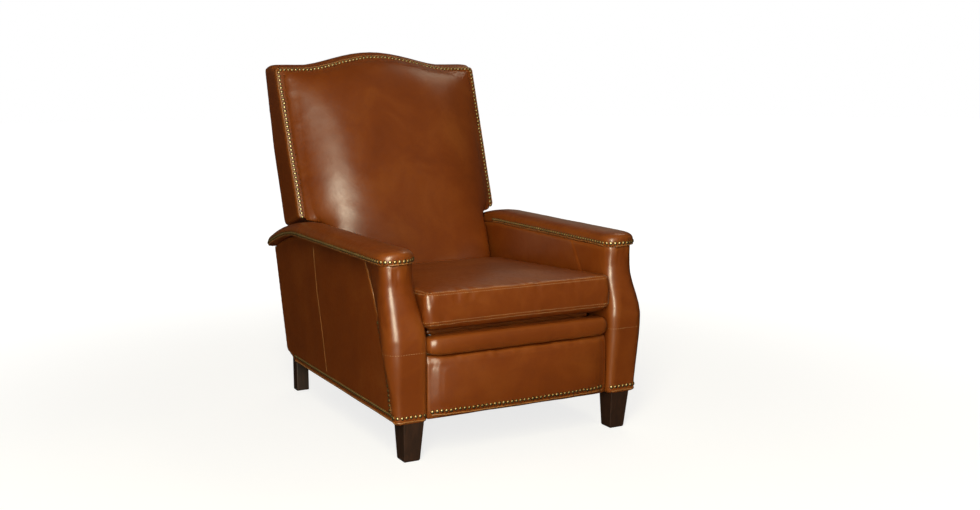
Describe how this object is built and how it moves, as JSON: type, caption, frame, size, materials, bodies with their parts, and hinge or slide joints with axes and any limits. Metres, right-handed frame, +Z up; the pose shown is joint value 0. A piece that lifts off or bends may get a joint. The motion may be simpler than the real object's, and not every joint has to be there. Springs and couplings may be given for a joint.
{
  "type": "recliner chair",
  "caption": "Push-back leather recliner: camel-topped back, padded arms with full round fronts, boxed seat cushion, front panel that folds out as a footrest, tapered wooden legs.",
  "frame": {"origin": "on the floor, under the middle of the chair's footprint", "axes": "+Z up; the sitter faces -Y; +X is to the right seen from the front"},
  "size_m": [0.806, 1.1272, 1.0953],
  "materials": {
    "leather": "waxed pull-up leather, brown with a soft sheen",
    "wood_dark": "espresso lacquer",
    "wood_plain": "bare hardwood",
    "plywood": "bare plywood",
    "zinc_steel": "zinc-plated pressed steel",
    "spring_steel": "black oil-dipped spring wire",
    "foam": "felt deck over foam",
    "webbing": "woven elastic webbing"
  },
  "bodies": {
    "base": {"left_front_leg": "wood_dark", "right_front_leg": "wood_dark", "left_rear_leg": "wood_dark", "right_rear_leg": "wood_dark", "left_side_frame": "wood_plain", "right_side_frame": "wood_plain", "left_outer_panel": "leather", "right_outer_panel": "leather", "left_front_post": "leather", "right_front_post": "leather", "left_inner_arm": "leather", "right_inner_arm": "leather", "left_arm_cap": "leather", "right_arm_cap": "leather", "left_mechanism_rail": "zinc_steel", "right_mechanism_rail": "zinc_steel", "left_glide_channel": "zinc_steel", "right_glide_channel": "zinc_steel", "front_cross_rail": "wood_plain", "rear_apron": "leather", "mechanism_cross_tube": "zinc_steel"},
    "seat": {"seat_cushion": "leather", "seat_deck": "foam", "seat_front_rail": "wood_plain", "seat_rear_rail": "wood_plain", "seat_spring_1": "spring_steel", "seat_spring_2": "spring_steel", "seat_spring_3": "spring_steel", "seat_spring_4": "spring_steel", "left_seat_side_rail": "wood_plain", "right_seat_side_rail": "wood_plain", "left_seat_runner": "spring_steel", "right_seat_runner": "spring_steel"},
    "back": {"back_pad": "leather", "back_crest": "leather", "back_crest_rail": "plywood", "back_lower_rail": "wood_plain", "back_webbing_1": "webbing", "back_webbing_2": "webbing", "back_cover": "leather", "left_back_wing": "leather", "right_back_wing": "leather", "left_back_side_frame": "plywood", "right_back_side_frame": "plywood", "left_back_hinge_plate": "zinc_steel", "right_back_hinge_plate": "zinc_steel"},
    "crank": {"left_crank_link": "zinc_steel", "right_crank_link": "zinc_steel"},
    "idler": {"left_idler_link": "zinc_steel", "right_idler_link": "zinc_steel"},
    "carrier": {"left_carrier_link": "zinc_steel", "right_carrier_link": "zinc_steel"},
    "control": {"left_control_link": "zinc_steel", "right_control_link": "zinc_steel"},
    "footrest": {"footrest_board": "plywood", "footrest_pad": "leather", "footrest_roll": "leather", "left_footrest_bracket": "zinc_steel", "right_footrest_bracket": "zinc_steel"}
  },
  "joints": [
    {"name": "footrest_open", "type": "hinge", "parent": "base", "child": "crank", "pos_m": [0, -0.43684, 0.298], "axis": [-1, 0, 0], "range_deg": [0, 90]},
    {"name": "idler_swing", "type": "hinge", "parent": "base", "child": "idler", "pos_m": [0, -0.46684, 0.298], "axis": [-1, 0, 0], "range_deg": [0, 90]},
    {"name": "carrier_pivot", "type": "hinge", "parent": "crank", "child": "carrier", "pos_m": [0, -0.3782, 0.1395], "axis": [-1, 0, 0], "range_deg": [-90, 0]},
    {"name": "control_pivot", "type": "hinge", "parent": "crank", "child": "control", "pos_m": [0, -0.3722, 0.1725], "axis": [-1, 0, 0], "range_deg": [-90, 0]},
    {"name": "footrest_tilt", "type": "hinge", "parent": "carrier", "child": "footrest", "pos_m": [0, -0.4842, 0.275], "axis": [-1, 0, 0], "range_deg": [0, 90]},
    {"name": "seat_glide", "type": "slide", "parent": "base", "child": "seat", "axis": [0, -0.9986, 0.0523], "range_m": [0, 0.06]},
    {"name": "back_recline", "type": "hinge", "parent": "base", "child": "back", "pos_m": [0, 0.27316, 0.305], "axis": [-1, 0, 0], "range_deg": [0, 30]}
  ],
  "couplings": [
    {"joint": "idler_swing", "follows": "footrest_open", "ratio": 1},
    {"joint": "carrier_pivot", "follows": "footrest_open", "ratio": -1},
    {"joint": "control_pivot", "follows": "footrest_open", "ratio": -1},
    {"joint": "footrest_tilt", "follows": "footrest_open", "ratio": 1},
    {"joint": "seat_glide", "follows": "footrest_open", "m_per_rad": 0.038193}
  ]
}
